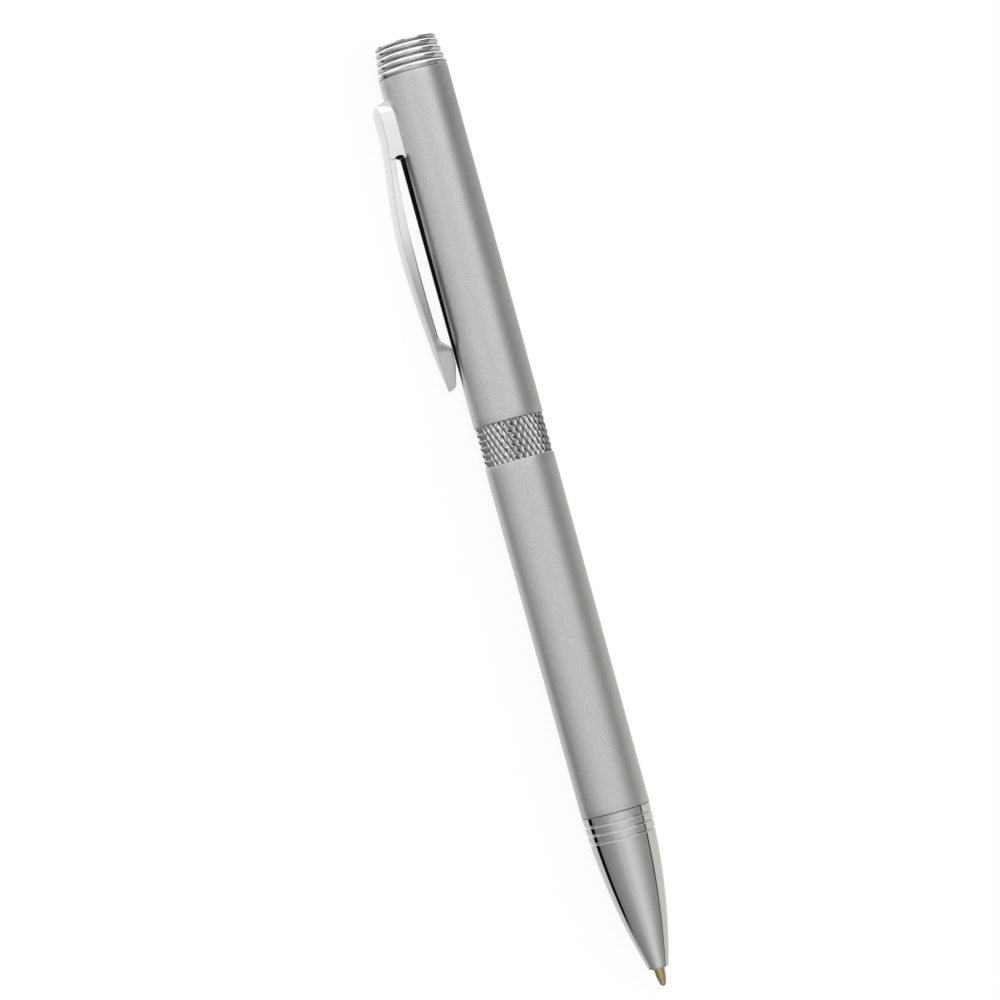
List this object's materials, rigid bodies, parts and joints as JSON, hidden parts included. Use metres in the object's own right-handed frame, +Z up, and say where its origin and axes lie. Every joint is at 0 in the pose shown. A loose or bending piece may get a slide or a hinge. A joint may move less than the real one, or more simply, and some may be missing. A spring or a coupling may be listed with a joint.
{
  "type": "twist ballpoint pen",
  "caption": "Metal twist ballpoint pen with a knurled centre ring, a bowed pocket clip and a ridged finial; turning the upper half moves the refill out and in.",
  "frame": {"origin": "on the surface that the pen lies on, under the middle of its box", "axes": "+X along the pen from the finial to the writing point, +Z up from the surface; the clip lies on the -Y side and its lower corner meets the surface"},
  "size_m": [0.14, 0.0136, 0.0102],
  "materials": {
    "satin_barrel": "satin",
    "chrome_trim": "polished",
    "point_brass": "polished",
    "inner_brass": "satin",
    "inner_steel": "satin",
    "ball_carbide": "polished",
    "acetal": "satin",
    "nitrile": "matte"
  },
  "bodies": {
    "lower_half": {"nose_cone": "chrome_trim", "lower_barrel": "satin_barrel", "barrel_bush": "inner_brass", "coupler": "inner_brass", "centre_ring": "chrome_trim", "friction_ring": "nitrile", "guide_tube": "inner_brass", "lower_washer": "acetal", "upper_washer": "acetal", "snap_ring": "inner_steel", "return_spring": "inner_steel"},
    "upper_half": {"upper_barrel": "satin_barrel", "cam_sleeve": "acetal", "clip_retainer": "acetal", "finial_stud": "inner_steel", "finial": "chrome_trim"},
    "clip": {"clip": "chrome_trim"},
    "refill": {"refill_tube": "inner_steel", "refill_neck": "inner_brass", "refill_point": "point_brass", "refill_plug": "acetal", "slider": "acetal", "follower_pin": "inner_steel"},
    "writing_ball": {"writing_ball": "ball_carbide"}
  },
  "joints": [
    {"name": "twist", "type": "hinge", "parent": "lower_half", "child": "upper_half", "pos_m": [0, 0.00168, 0.0051], "axis": [-1, 0, 0], "range_deg": [0, 180]},
    {"name": "refill_advance", "type": "slide", "parent": "lower_half", "child": "refill", "axis": [-1, 0, 0], "range_m": [0, 0.005], "deforming": ["return_spring"]},
    {"name": "clip_flex", "type": "hinge", "parent": "upper_half", "child": "clip", "pos_m": [-0.0622, -0.00292, 0.00288], "axis": [0, 0.4354, -0.9002], "range_deg": [0, 4], "stiffness_Nm_per_rad": 3},
    {"name": "ball_roll", "type": "hinge", "parent": "refill", "child": "writing_ball", "pos_m": [0.0696, 0.00168, 0.0051], "axis": [0, 1, 0], "continuous": true}
  ],
  "couplings": [
    {"joint": "twist", "follows": "refill_advance", "rad_per_m": 628.32}
  ]
}
